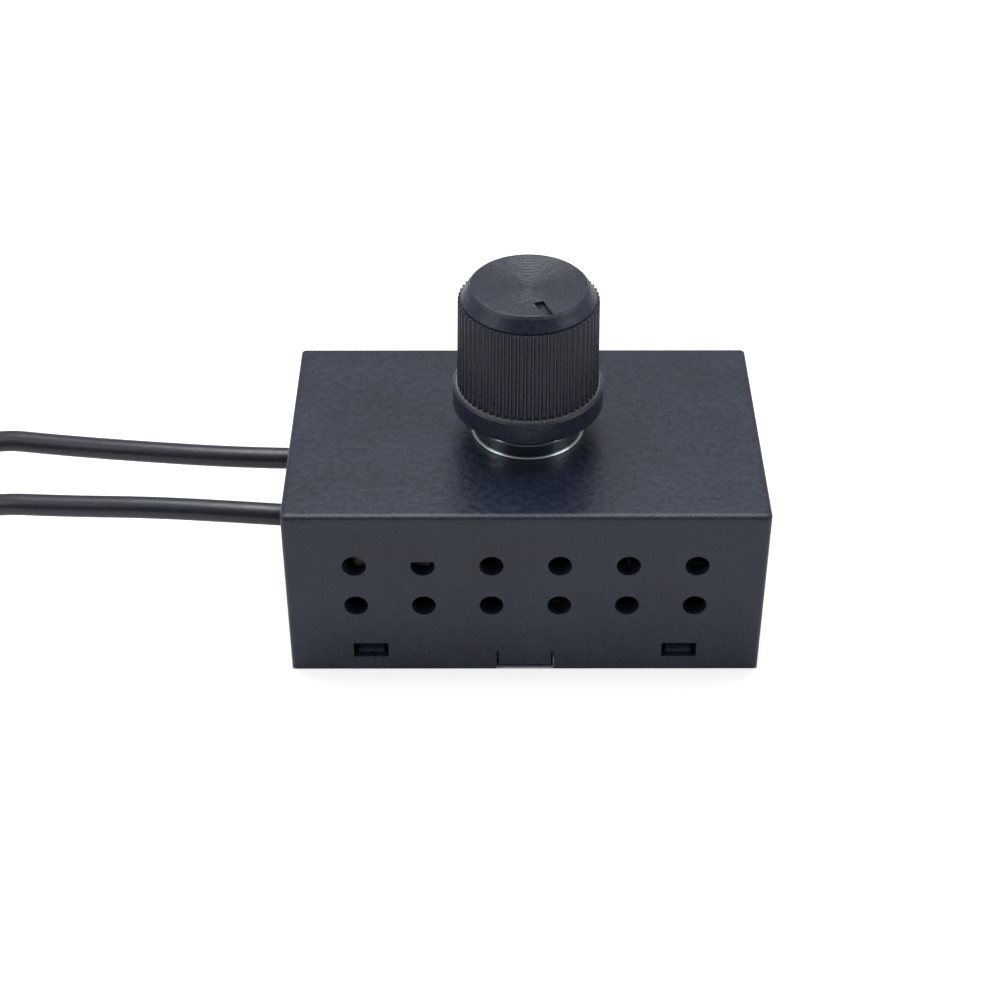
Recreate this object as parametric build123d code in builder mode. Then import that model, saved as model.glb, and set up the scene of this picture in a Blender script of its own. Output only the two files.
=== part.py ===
from build123d import *
import os
from math import cos, degrees, pi, radians, sin, sqrt, tan

# Rotary dimmer switch. A moulded box with a snap-in floor holds a circuit board and a potentiometer with an
# on/off switch. The potentiometer hangs from the top of the box on its threaded bushing, under a washer and
# a round nut. A fluted knob is pressed on its shaft. Two leads leave the left end of the box.
# Millimetres. The origin is under the middle of the box: X runs along it, Y goes back, Z goes up.

os.makedirs("parts", exist_ok=True)

# Box
box_length = 50.0
box_depth = 30.5
box_height = 20.8
side_wall = 1.6
top_wall = 1.8
corner_radius = 0.5
rim_radius = 0.3
inner_corner = 0.5
inner_length = box_length - 2 * side_wall
inner_depth = box_depth - 2 * side_wall
ceiling = box_height - top_wall

# Round vents in both long sides
vent_radius = 1.25
vent_columns = 6
vent_pitch = 7.09
vent_row_pitch = 5.35
vent_lower_row = 8.95

# Snap windows, and the floor's snap arms behind them
window_spot = 16.4
window_width = 3.7
window_height = 1.92
window_sill = 1.74
arm_width = 2.76
arm_thickness = 1.0
arm_gap = 0.1
arm_root = 0.8
barb_inset = 0.55
barb_face = 0.4
barb_slope_end = 2.95

# Pry tongue in the middle of each long side
tongue_width = 5.9
tongue_height = 2.5
tongue_lift = 0.62
tongue_tab_height = 0.27
tongue_tab_lift = 0.2
slit_width = 0.28

# Snap-in floor and board
floor_thickness = 1.6
floor_fit = 0.1
board_thickness = 1.6
board_underside = 3.8
board_fit = 0.3
board_top = board_underside + board_thickness
post_inset_x = 2.8
post_inset_y = 3.05
post_radius = 1.7
post_pin_radius = 0.9
hold_rib_inset = 1.1
hold_rib_width = 1.2
hold_rib_depth = 1.0
seat_gap = 0.05
pin_gap = 0.1
tail_reach = 1.0
wire_radius = 0.3

# Leads
lead_radius = 1.2
lead_exit_spot = 5.1
lead_height = 13.0
lead_length = 150.0
bare_length = 9.0
conductor_radius = 0.6
lead_hole_gap = 0.06
clamp_spot = -10.6
clamp_width = 2.6
clamp_rib_foot = 14.87
clamp_lead_spot = 9.0
clamp_post_depth = 3.6
lead_drop_spot = -5.8
inner_bend_inset = 4.5
inner_bend_run = 4.0
lead_end_gap = 0.5

# Potentiometer, from the top down. Its hole stands a little right of the middle
bushing_spot = 0.3
bushing_wall = 0.44
bushing_reach = 3.8
bushing_bevel = 0.3
bushing_hole_gap = 0.1
bushing_collar = 0.8
bushing_collar_height = 0.6
plate_overhang = 0.1
plate_thickness = 1.0
claw_thickness = 0.5
claw_width = 3.0
claw_hook = 1.5
stop_tab_spot = 6.4
stop_tab_width = 2.6
stop_tab_height = 0.9
case_radius = 7.9
case_wall = 1.0
case_height = 5.4
case_floor = 1.0
track_thickness = 0.6
track_inner_radius = 3.4
track_gap = 0.1
lug_width = 11.0
lug_overhang = 2.7
terminal_pitch = 4.0
terminal_inset = 1.1
terminal_width = 1.2
terminal_thickness = 0.3
rivet_radius = 0.5
rivet_head_radius = 0.85
switch_height = 5.2
switch_floor = 1.0

# Shaft and what turns with it
shaft_radius = 3.0
shaft_cover = 3.0
shaft_end_gap = 0.4
shaft_seat_step = 0.6
shaft_cam_step = 1.4
running_gap = 0.06
wiper_gap = 1.0
wiper_thickness = 1.4
wiper_lift = 1.0
finger_length = 1.4
finger_width = 1.0
nose_gap = 0.3
nose_half_angle = 10.0
travel = 300.0
stop_margin = 1.0
stop_overlap = 0.6
turn_to_off = 41.5
cam_radius = 3.2
cam_lobe_radius = 4.7
cam_lobe_half_angle = 14.0
cam_height = 3.0

# Knob
knob_gap = 0.3
knob_height = 15.6
knob_crest_radius_top = 7.28
knob_crest_radius_foot = 7.46
knob_bevel_height = 1.6
flute_run = 10.2
knob_bevel_foot_radius = 6.98
knob_bevel_radius = 6.25
knob_groove_width = 0.2
knob_groove_depth = 0.12
knob_rim_width = 0.25
knob_dish_depth = 0.3
knob_flange_radius = 7.95
knob_flange_edge = 0.2
knob_foot_height = 1.4
knob_foot_radius = 6.2
knob_lip = 0.6
knob_bore_gap = 0.02
knob_roof = 2.2
hub_wall = 1.7
hub_gap = 0.7
hub_ribs = 4
hub_rib_thickness = 1.0
flute_count = 60
flute_radius = 0.34
flute_depth = 0.26
pointer_angle = -71.5
pointer_start = 3.0
pointer_end = 6.0
pointer_width = 1.0
pointer_depth = 0.6

# Coil of the leads, and its tie
coil_distance = 69.0
coil_offset = -6.1
coil_inner_radius = 11.9
turn_gap = 0.1
tie_width = 2.8
tie_thickness = 0.4
tie_gap = 0.1
inner_start_angle = 20.0

# Washer and nut
washer_radius = 6.0
washer_thickness = 0.45
nut_radius = 5.82
nut_height = 1.65
nut_edge = 0.35
nut_slot_width = 1.4
nut_slot_depth = 0.7
thread_gap = 0.03

# Heights, from the ceiling down and from the top of the box up
plate_underside = ceiling - plate_thickness
case_bottom = plate_underside - case_height
switch_bottom = case_bottom - switch_height
track_top = case_bottom + case_floor + track_thickness
wiper_bottom = track_top + wiper_lift
wiper_top = wiper_bottom + wiper_thickness
bushing_top = box_height + bushing_reach
nut_foot = box_height + washer_thickness
nut_top = nut_foot + nut_height
knob_foot = nut_top + knob_gap
knob_top = knob_foot + knob_height
shaft_top = knob_top - shaft_cover

# Radii round the shaft, and the places that follow the walls
bushing_radius = shaft_radius + running_gap + bushing_wall
shaft_flat = shaft_radius / 2
shaft_seat_radius = shaft_radius - shaft_seat_step
cam_shaft_radius = shaft_radius - shaft_cam_step
cavity_radius = case_radius - case_wall
wiper_radius = cavity_radius - wiper_gap
nose_radius = cavity_radius - nose_gap
lug_reach = case_radius + lug_overhang
terminal_spot = lug_reach - terminal_inset
post_spot_x = inner_length / 2 - post_inset_x
post_spot_y = inner_depth / 2 - post_inset_y
hold_rib_spot = inner_length / 2 - hold_rib_inset
exit_x = -box_length / 2

dial_axis = Axis((bushing_spot, 0, 0), (0, 0, 1))
dial_section = Plane(origin=(bushing_spot, 0, 0), x_dir=(1, 0, 0), z_dir=(0, -1, 0))


def level(height):
    """The level plane at this height, with its origin on the bushing's axis."""
    return Plane((bushing_spot, 0, height))



# Housing: one moulded box, open at its floor
with BuildPart() as housing:
    with BuildSketch():
        RectangleRounded(box_length, box_depth, corner_radius)
    extrude(amount=box_height)
    fillet(housing.faces().sort_by(Axis.Z)[-1].edges(), rim_radius)
    with BuildSketch():
        RectangleRounded(inner_length, inner_depth, inner_corner)
    extrude(amount=ceiling, mode=Mode.SUBTRACT)
    # Vents and snap windows go through both long sides at once
    with BuildSketch(Plane.XZ.offset(-box_depth)):
        with Locations((0, vent_lower_row + vent_row_pitch / 2)):
            with GridLocations(vent_pitch, vent_row_pitch, vent_columns, 2):
                Circle(vent_radius)
        with Locations((0, window_sill + window_height / 2)):
            with GridLocations(2 * window_spot, 0, 2, 1):
                Rectangle(window_width, window_height)
        # Two slits free the pry tongue, whose lower edge stands above the floor
        with GridLocations(tongue_width, 0, 2, 1):
            Rectangle(slit_width, 2 * tongue_height)
        Rectangle(tongue_width, 2 * tongue_lift)
    extrude(amount=2 * box_depth, mode=Mode.SUBTRACT)
    with BuildSketch(Plane.YZ.offset(-box_length / 2 - side_wall)):
        with Locations((0, lead_height)):
            with GridLocations(2 * lead_exit_spot, 0, 2, 1):
                Circle(lead_radius + lead_hole_gap)
    extrude(amount=3 * side_wall, mode=Mode.SUBTRACT)
    with BuildSketch(level(ceiling)):
        Circle(bushing_radius + bushing_hole_gap)
    extrude(amount=top_wall, mode=Mode.SUBTRACT)
    # A blind slot in the ceiling stops the potentiometer from turning
    with BuildSketch(level(ceiling)):
        with Locations((0, stop_tab_spot)):
            Rectangle(stop_tab_width + 2 * pin_gap, claw_thickness + 2 * pin_gap)
    extrude(amount=stop_tab_height + pin_gap, mode=Mode.SUBTRACT)
    # The clamp rib holds the leads down. It runs out through both long sides, so it closes the vents' tops
    with BuildSketch(Plane.XY.offset(clamp_rib_foot)):
        with Locations((clamp_spot, 0)):
            Rectangle(clamp_width, inner_depth)
    extrude(amount=ceiling - clamp_rib_foot)
    with BuildSketch(Plane.XY.offset(clamp_rib_foot)):
        with Locations((clamp_spot, 0)):
            Rectangle(clamp_width, box_depth)
            Rectangle(clamp_width, inner_depth, mode=Mode.SUBTRACT)
    extrude(amount=vent_lower_row + vent_row_pitch + vent_radius - clamp_rib_foot)
    # Four short ribs hold the board down
    with BuildSketch(Plane.XY.offset(board_top + seat_gap)):
        with GridLocations(2 * hold_rib_spot, inner_depth - hold_rib_depth, 2, 2):
            Rectangle(hold_rib_width, hold_rib_depth)
    extrude(amount=ceiling - board_top - seat_gap)
housing.part.label = "housing"
export_step(housing.part, "parts/housing.step")


# Floor: a plate with four snap arms, four board posts and two posts that press the leads against the rib
with BuildPart() as base_plate:
    with BuildSketch():
        RectangleRounded(inner_length - 2 * floor_fit, inner_depth - 2 * floor_fit, inner_corner)
    extrude(amount=floor_thickness)
    # Tabs fill the gap under the pry tongues
    with BuildSketch(Plane.XY.offset(tongue_tab_lift)):
        Rectangle(tongue_width + slit_width - 2 * floor_fit, box_depth - 2 * floor_fit)
    extrude(amount=tongue_tab_height)
    # Snap arms: a flat catch at the foot of each barb and a slope above it
    arm_face = inner_depth / 2 - arm_gap
    barb_tip = box_depth / 2 - barb_inset
    catch_height = window_sill + seat_gap
    for spot in (-window_spot, window_spot):
        with BuildSketch(Plane.YZ.offset(spot - arm_width / 2)):
            with BuildLine():
                Polyline(
                    (arm_face, arm_root),
                    (arm_face, catch_height),
                    (barb_tip, catch_height),
                    (barb_tip, catch_height + barb_face),
                    (arm_face, barb_slope_end),
                    (arm_face - arm_thickness, barb_slope_end),
                    (arm_face - arm_thickness, arm_root),
                    close=True,
                )
            make_face()
            mirror(about=Plane.YZ)
        extrude(amount=arm_width)
    with BuildSketch(Plane.XY.offset(floor_thickness)):
        with GridLocations(2 * post_spot_x, 2 * post_spot_y, 2, 2):
            Circle(post_radius)
    extrude(amount=board_underside - floor_thickness)
    with BuildSketch(Plane.XY.offset(board_underside)):
        with GridLocations(2 * post_spot_x, 2 * post_spot_y, 2, 2):
            Circle(post_pin_radius)
    extrude(amount=board_thickness)
    with BuildSketch(Plane.XY.offset(floor_thickness)):
        with Locations((clamp_spot, 0)):
            with GridLocations(0, 2 * clamp_lead_spot, 1, 2):
                Rectangle(clamp_width, clamp_post_depth)
    extrude(amount=clamp_rib_foot - 2 * lead_radius - 2 * seat_gap - floor_thickness)
base_plate.part.label = "base_plate"
export_step(base_plate.part, "parts/base_plate.step")


# What stands on the board
resistor_rows = (-7.6, 7.6)
resistor_middle = -17.8
resistor_pitch = 9.0
resistor_radius = 1.2
resistor_length = 6.4
fuse_row = 11.6
fuse_middle = 3.0
fuse_pitch = 10.0
fuse_radius = 1.5
fuse_length = 7.5
diac_row = -11.6
diac_middle = 2.0
diac_pitch = 8.0
diac_radius = 0.95
diac_length = 4.0
disc_spot = (-15.1, -12.1)
disc_radius = 3.0
disc_thickness = 2.0
disc_height = 12.6
disc_pitch = 3.6
film_spot = (-17.2, 0.0)
film_length = 10.0
film_depth = 4.0
film_body_height = 9.0
film_corner = 0.4
film_pitch = 7.5
choke_spot = (17.2, 9.4)
choke_radius = 3.8
choke_waist_radius = 1.8
choke_height = 9.0
choke_flange = 1.2
choke_winding_inset = 0.4
choke_pitch = 3.0
triac_spot = 16.6
triac_lead_row = -12.2
triac_lead_pitch = 2.54
triac_lead_width = 0.8
triac_lead_thickness = 0.5
triac_lead_lift = 2.4
triac_body_start = -10.0
triac_body_length = 9.0
triac_width = 10.0
triac_tab_length = 15.4
triac_tab_thickness = 1.3
triac_case_height = 3.2
triac_case_bevel = 0.4
triac_tab_bevel = 1.0
triac_hole_inset = 2.8
sink_start_x = 11.4
sink_end_x = 22.7
sink_start_y = -10.4
sink_end_y = 5.4
sink_thickness = 1.0
sink_wing_top = 16.5
screw_radius = 1.5
screw_head_radius = 2.7
screw_head_height = 1.8
screw_below = 1.0
screw_cross_length = 3.0
screw_cross_width = 0.6
screw_cross_depth = 0.9
leaf_clearance = 0.6
leaf_start = -3.9
leaf_end = 3.4
leaf_thickness = 0.3
leaf_lift = 1.8
leaf_height = 2.4
contact_gap = 0.4
contact_spot = 1.8
contact_radius = 0.5
fixed_width = 1.8
switch_blade_width = 1.2

leaf_row = cam_lobe_radius + leaf_clearance
leaf_foot = switch_bottom + leaf_lift
leaf_head = leaf_foot + leaf_height

# Tails that pass the board, as (x, y) of each hole
tail_foot = board_underside - tail_reach
drop_spot = (lead_drop_spot, clamp_lead_spot)
screw_spot = (triac_spot, triac_body_start + triac_tab_length - triac_hole_inset)
triac_tails = [(triac_spot + n * triac_lead_pitch, triac_lead_row) for n in (-1, 0, 1)]
axial_tails = [
    (middle + end * pitch / 2, row)
    for middle, row, pitch in (
        (resistor_middle, resistor_rows[0], resistor_pitch),
        (resistor_middle, resistor_rows[1], resistor_pitch),
        (fuse_middle, fuse_row, fuse_pitch),
        (diac_middle, diac_row, diac_pitch),
    )
    for end in (-1, 1)
]
radial_tails = [
    (x + end * pitch / 2, y)
    for (x, y), pitch in ((disc_spot, disc_pitch), (film_spot, film_pitch), (choke_spot, choke_pitch))
    for end in (-1, 1)
]
terminal_spots = [(terminal_spot, row * terminal_pitch) for row in (-1, 0, 1)]
leaf_blade_spot = (leaf_start + switch_blade_width / 2, leaf_row + leaf_thickness / 2)
fixed_blade_spot = (contact_spot, leaf_row + 1.5 * leaf_thickness + contact_gap)


# Board: a plate notched for the clamp posts, with a hole for each tail
with BuildPart() as circuit_board:
    with BuildSketch(Plane.XY.offset(board_underside)):
        RectangleRounded(inner_length - 2 * board_fit, inner_depth - 2 * board_fit, inner_corner)
        with Locations((clamp_spot, 0)):
            with GridLocations(0, inner_depth, 1, 2):
                Rectangle(
                    clamp_width + 2 * board_fit,
                    inner_depth - 2 * clamp_lead_spot + clamp_post_depth + 2 * board_fit,
                    mode=Mode.SUBTRACT,
                )
        with GridLocations(2 * post_spot_x, 2 * post_spot_y, 2, 2):
            Circle(post_pin_radius + pin_gap, mode=Mode.SUBTRACT)
        with Locations(*axial_tails, *radial_tails):
            Circle(wire_radius + pin_gap, mode=Mode.SUBTRACT)
        with Locations(*triac_tails):
            Circle(0.5 * triac_lead_width + 2 * pin_gap, mode=Mode.SUBTRACT)
        with Locations((bushing_spot, 0)):
            with Locations(*terminal_spots, leaf_blade_spot, fixed_blade_spot):
                Circle(0.5 * terminal_width + pin_gap, mode=Mode.SUBTRACT)
        with Locations(drop_spot, (drop_spot[0], -drop_spot[1])):
            Circle(conductor_radius + pin_gap, mode=Mode.SUBTRACT)
        with Locations(screw_spot):
            Circle(screw_radius + 4 * pin_gap, mode=Mode.SUBTRACT)
    extrude(amount=board_thickness)
circuit_board.part.label = "circuit_board"
export_step(circuit_board.part, "parts/circuit_board.step")


# Parts that lie on the board: a round body on one wire, bent down into the board at both ends
axial_sets = {
    "resistors": (
        [(resistor_middle, row) for row in resistor_rows],
        resistor_pitch,
        resistor_radius,
        resistor_length,
    ),
    "fuse": ([(fuse_middle, fuse_row)], fuse_pitch, fuse_radius, fuse_length),
    "diac": ([(diac_middle, diac_row)], diac_pitch, diac_radius, diac_length),
}
for label, (spots, pitch, body_radius, body_length) in axial_sets.items():
    with BuildPart() as axial_part:
        for middle, row in spots:
            with BuildLine(Plane.XZ.offset(-row)) as wire:
                FilletPolyline(
                    (middle - pitch / 2, tail_foot),
                    (middle - pitch / 2, board_top + body_radius),
                    (middle + pitch / 2, board_top + body_radius),
                    (middle + pitch / 2, tail_foot),
                    radius=2 * wire_radius,
                )
            with BuildSketch(Plane.XY.offset(tail_foot)):
                with Locations((middle - pitch / 2, row)):
                    Circle(wire_radius)
            sweep(path=wire.line)
            with BuildSketch(Plane.YZ.offset(middle - body_length / 2)):
                with Locations((row, board_top + body_radius)):
                    Circle(body_radius)
            extrude(amount=body_length)
        rims = axial_part.edges().filter_by(GeomType.CIRCLE)
        fillet(rims.filter_by(lambda edge: abs(edge.radius - body_radius) < 0.01), 0.3 * body_radius)
    axial_part.part.label = label
    export_step(axial_part.part, f"parts/{label}.step")


# Disc capacitor: a dipped disc on two straight legs, beside the front vents
with BuildPart() as ceramic_capacitor:
    with BuildSketch(Plane.XZ.offset(-disc_spot[1] - disc_thickness / 2)):
        with Locations((disc_spot[0], disc_height)):
            Circle(disc_radius)
    extrude(amount=disc_thickness)
    fillet(ceramic_capacitor.edges().filter_by(GeomType.CIRCLE), 0.42 * disc_thickness)
    with BuildSketch(Plane.XY.offset(tail_foot)):
        with Locations(disc_spot):
            with GridLocations(disc_pitch, 0, 2, 1):
                Circle(wire_radius)
    extrude(amount=disc_height - 0.5 * disc_radius - tail_foot)
ceramic_capacitor.part.label = "ceramic_capacitor"
export_step(ceramic_capacitor.part, "parts/ceramic_capacitor.step")


# Film capacitor: a potted box on two legs
with BuildPart() as film_capacitor:
    with BuildSketch(Plane.XY.offset(board_top)):
        with Locations(film_spot):
            Rectangle(film_length, film_depth)
    extrude(amount=film_body_height)
    fillet(film_capacitor.edges().filter_by(Axis.Z), film_corner)
    with BuildSketch(Plane.XY.offset(tail_foot)):
        with Locations(film_spot):
            with GridLocations(film_pitch, 0, 2, 1):
                Circle(wire_radius)
    extrude(amount=board_top - tail_foot)
film_capacitor.part.label = "film_capacitor"
export_step(film_capacitor.part, "parts/film_capacitor.step")


# Choke: wire wound on the waist of a ferrite drum that stands on two pins
choke_plane = Plane(origin=(*choke_spot, board_top), x_dir=(1, 0, 0), z_dir=(0, -1, 0))
choke_axis = Axis((*choke_spot, 0), (0, 0, 1))
with BuildPart() as choke_core:
    with BuildSketch(choke_plane):
        with BuildLine():
            Polyline(
                (0, 0),
                (choke_radius, 0),
                (choke_radius, choke_flange),
                (choke_waist_radius, choke_flange),
                (choke_waist_radius, choke_height - choke_flange),
                (choke_radius, choke_height - choke_flange),
                (choke_radius, choke_height),
                (0, choke_height),
                close=True,
            )
        make_face()
    revolve(axis=choke_axis)
    with BuildSketch(Plane.XY.offset(tail_foot)):
        with Locations(choke_spot):
            with GridLocations(choke_pitch, 0, 2, 1):
                Circle(wire_radius)
    extrude(amount=board_top - tail_foot)
choke_core.part.label = "choke_core"
export_step(choke_core.part, "parts/choke_core.step")

with BuildPart() as choke_winding:
    with BuildSketch(Plane.XY.offset(board_top + choke_flange)):
        with Locations(choke_spot):
            Circle(choke_radius - choke_winding_inset)
            Circle(choke_waist_radius + thread_gap, mode=Mode.SUBTRACT)
    extrude(amount=choke_height - 2 * choke_flange)
choke_winding.part.label = "choke_winding"
export_step(choke_winding.part, "parts/choke_winding.step")


# Heat sink: a folded sheet that lies on the board and turns up along the right end
sink_top = board_top + sink_thickness
with BuildPart() as heat_sink:
    with BuildSketch(Plane.XZ.offset(-sink_end_y)):
        with BuildLine():
            Polyline(
                (sink_start_x, board_top),
                (sink_end_x, board_top),
                (sink_end_x, sink_wing_top),
                (sink_end_x - sink_thickness, sink_wing_top),
                (sink_end_x - sink_thickness, sink_top),
                (sink_start_x, sink_top),
                close=True,
            )
        make_face()
    extrude(amount=sink_end_y - sink_start_y)
    fillet(heat_sink.edges().filter_by(Axis.Y).group_by(Axis.X)[-1].sort_by(Axis.Z)[0], 0.9 * sink_thickness)
    with BuildSketch(Plane.XY.offset(board_top)):
        with Locations(screw_spot):
            Circle(screw_radius + thread_gap)
    extrude(amount=sink_thickness, mode=Mode.SUBTRACT)
heat_sink.part.label = "heat_sink"
export_step(heat_sink.part, "parts/heat_sink.step")


# Triac: a stamped tab with three bent leads, and the moulded case on the tab
with BuildPart() as triac_frame:
    with BuildSketch(Plane.XY.offset(sink_top)):
        with Locations((triac_spot, triac_body_start + triac_tab_length / 2)):
            Rectangle(triac_width, triac_tab_length)
        with Locations(screw_spot):
            Circle(screw_radius + 2 * pin_gap, mode=Mode.SUBTRACT)
    extrude(amount=triac_tab_thickness)
    chamfer(triac_frame.edges().filter_by(Axis.Z).group_by(Axis.Y)[-1], triac_tab_bevel)
    for x, row in triac_tails:
        with BuildSketch(Plane.YZ.offset(x - triac_lead_width / 2)):
            with BuildLine():
                Polyline(
                    (triac_body_start, sink_top + triac_lead_lift),
                    (triac_body_start, sink_top + triac_lead_lift + triac_lead_thickness),
                    (row - triac_lead_thickness / 2, sink_top + triac_lead_lift + triac_lead_thickness),
                    (row - triac_lead_thickness / 2, tail_foot),
                    (row + triac_lead_thickness / 2, tail_foot),
                    (row + triac_lead_thickness / 2, sink_top + triac_lead_lift),
                    close=True,
                )
            make_face()
        extrude(amount=triac_lead_width)
triac_frame.part.label = "triac_frame"
export_step(triac_frame.part, "parts/triac_frame.step")

with BuildPart() as triac_case:
    with BuildSketch(Plane.XY.offset(sink_top + triac_tab_thickness)):
        with Locations((triac_spot, triac_body_start + triac_body_length / 2)):
            Rectangle(triac_width, triac_body_length)
    extrude(amount=triac_case_height)
    chamfer(triac_case.faces().sort_by(Axis.Z)[-1].edges(), triac_case_bevel)
triac_case.part.label = "triac_case"
export_step(triac_case.part, "parts/triac_case.step")

with BuildPart() as heat_sink_screw:
    with BuildSketch(Plane.XY.offset(board_top - screw_below)):
        with Locations(screw_spot):
            Circle(screw_radius)
    extrude(amount=screw_below + sink_thickness + triac_tab_thickness)
    with BuildSketch(Plane.XY.offset(sink_top + triac_tab_thickness)):
        with Locations(screw_spot):
            Circle(screw_head_radius)
    extrude(amount=screw_head_height)
    fillet(heat_sink_screw.faces().sort_by(Axis.Z)[-1].edges(), 0.5 * screw_head_height)
    with BuildSketch(Plane.XY.offset(sink_top + triac_tab_thickness + screw_head_height)):
        with Locations(screw_spot):
            Rectangle(screw_cross_length, screw_cross_width)
            Rectangle(screw_cross_width, screw_cross_length)
    extrude(amount=-screw_cross_depth, mode=Mode.SUBTRACT)
heat_sink_screw.part.label = "heat_sink_screw"
export_step(heat_sink_screw.part, "parts/heat_sink_screw.step")


# Potentiometer, from its threaded bushing down. The plate's claws hold both cases against it
with BuildPart() as bushing:
    with BuildSketch(level(plate_underside - bushing_collar_height)):
        Circle(bushing_radius + bushing_collar)
    extrude(amount=bushing_collar_height)
    with BuildSketch(level(plate_underside)):
        Circle(bushing_radius)
    extrude(amount=bushing_top - plate_underside)
    chamfer(bushing.faces().sort_by(Axis.Z)[-1].edges(), bushing_bevel)
    with BuildSketch(level(plate_underside - bushing_collar_height)):
        Circle(shaft_radius + running_gap)
    extrude(amount=bushing_top, mode=Mode.SUBTRACT)
bushing.part.label = "bushing"
export_step(bushing.part, "parts/bushing.step")

claw_spot = case_radius + seat_gap + claw_thickness / 2
with BuildPart() as pot_plate:
    with BuildSketch(level(plate_underside)):
        Circle(case_radius + plate_overhang)
        Rectangle(claw_width, 2 * claw_spot + claw_thickness)
        Circle(bushing_radius + thread_gap, mode=Mode.SUBTRACT)
    extrude(amount=plate_thickness)
    with BuildSketch(level(switch_bottom - claw_thickness)):
        with GridLocations(0, 2 * claw_spot, 1, 2):
            Rectangle(claw_width, claw_thickness)
    extrude(amount=plate_underside - switch_bottom + claw_thickness)
    # Each claw is folded in under the lower case
    with BuildSketch(level(switch_bottom - claw_thickness)):
        with GridLocations(0, 2 * claw_spot + claw_thickness - claw_hook, 1, 2):
            Rectangle(claw_width, claw_hook)
    extrude(amount=claw_thickness)
    with BuildSketch(level(ceiling)):
        with Locations((0, stop_tab_spot)):
            Rectangle(stop_tab_width, claw_thickness)
    extrude(amount=stop_tab_height)
pot_plate.part.label = "pot_plate"
export_step(pot_plate.part, "parts/pot_plate.step")

track_radius = cavity_radius - pin_gap
lug_start = sqrt(track_radius**2 - (lug_width / 2) ** 2)
stop_half_angle = (360 - travel) / 2 - nose_half_angle - stop_margin
stop_angle = pointer_angle + turn_to_off + (360 - travel) / 2


def wedge(start, end, reach):
    """Draws the face between two directions from the origin, in degrees, out past a given reach."""
    far = 1.5 * reach
    middle = (start + end) / 2
    with BuildLine() as outline:
        Polyline(
            (0, 0),
            *[(far * cos(radians(angle)), far * sin(radians(angle))) for angle in (start, middle, end)],
            close=True,
        )
    return outline


with BuildPart() as pot_case:
    with BuildSketch(level(case_bottom)):
        Circle(case_radius)
    extrude(amount=case_height)
    with BuildSketch(level(case_bottom + case_floor)):
        Circle(cavity_radius)
    extrude(amount=case_height, mode=Mode.SUBTRACT)
    # The stop that the wiper's nose meets at both ends of its travel
    with BuildSketch(level(wiper_bottom - stop_overlap)):
        make_face(wedge(stop_angle - stop_half_angle, stop_angle + stop_half_angle, case_radius).edges())
        Circle(case_radius - case_wall / 2, mode=Mode.INTERSECT)
        Circle((wiper_radius + nose_radius) / 2, mode=Mode.SUBTRACT)
    extrude(amount=plate_underside - wiper_bottom + stop_overlap)
    with BuildSketch(level(case_bottom)):
        Circle(cam_shaft_radius + running_gap)
    extrude(amount=case_floor, mode=Mode.SUBTRACT)
    with BuildSketch(level(case_bottom + case_floor)):
        with Locations((case_radius, 0)):
            Rectangle(2 * (case_radius - lug_start + pin_gap), lug_width + 2 * pin_gap)
    extrude(amount=track_thickness + pin_gap, mode=Mode.SUBTRACT)
pot_case.part.label = "pot_case"
export_step(pot_case.part, "parts/pot_case.step")

with BuildPart() as pot_track:
    with BuildSketch(level(case_bottom + case_floor)):
        Circle(track_radius)
        with Locations(((lug_start + lug_reach) / 2, 0)):
            Rectangle(lug_reach - lug_start, lug_width)
        Circle(track_inner_radius, mode=Mode.SUBTRACT)
        with Locations(*terminal_spots):
            Circle(rivet_radius + seat_gap, mode=Mode.SUBTRACT)
    extrude(amount=track_thickness)
pot_track.part.label = "pot_track"
export_step(pot_track.part, "parts/pot_track.step")

with BuildPart() as pot_terminals:
    with BuildSketch(level(tail_foot)):
        with Locations(*terminal_spots):
            Rectangle(terminal_thickness, terminal_width)
    extrude(amount=case_bottom + case_floor - tail_foot)
    with BuildSketch(level(case_bottom + case_floor)):
        with Locations(*terminal_spots):
            Circle(rivet_radius)
    extrude(amount=track_thickness)
    with BuildSketch(level(track_top)):
        with Locations(*terminal_spots):
            Circle(rivet_head_radius)
    extrude(amount=terminal_thickness)
    with BuildSketch(level(case_bottom + case_floor - terminal_thickness)):
        with Locations(*terminal_spots):
            Rectangle(terminal_width, terminal_width)
    extrude(amount=terminal_thickness)
pot_terminals.part.label = "pot_terminals"
export_step(pot_terminals.part, "parts/pot_terminals.step")

with BuildPart() as switch_case:
    with BuildSketch(level(switch_bottom)):
        Circle(case_radius)
    extrude(amount=switch_height)
    with BuildSketch(level(switch_bottom + switch_floor)):
        Circle(cavity_radius)
    extrude(amount=switch_height, mode=Mode.SUBTRACT)
    with BuildSketch(level(switch_bottom)):
        with Locations(leaf_blade_spot, fixed_blade_spot):
            Rectangle(switch_blade_width + 2 * pin_gap, leaf_thickness + 2 * pin_gap)
    extrude(amount=switch_floor, mode=Mode.SUBTRACT)
switch_case.part.label = "switch_case"
export_step(switch_case.part, "parts/switch_case.step")


# Switch contacts: a leaf with a button that closes on a fixed blade. Each runs down into the board
with BuildPart() as switch_leaf:
    with BuildSketch(dial_section.offset(-leaf_row - leaf_thickness)):
        with BuildLine():
            Polyline(
                (leaf_start, tail_foot),
                (leaf_start, leaf_head),
                (leaf_end, leaf_head),
                (leaf_end, leaf_foot),
                (leaf_start + switch_blade_width, leaf_foot),
                (leaf_start + switch_blade_width, tail_foot),
                close=True,
            )
        make_face()
    extrude(amount=leaf_thickness)
    with BuildSketch(dial_section.offset(-leaf_row - leaf_thickness - contact_gap)):
        with Locations((contact_spot, (leaf_foot + leaf_head) / 2)):
            Circle(contact_radius)
    extrude(amount=contact_gap)
switch_leaf.part.label = "switch_leaf"
export_step(switch_leaf.part, "parts/switch_leaf.step")

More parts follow.
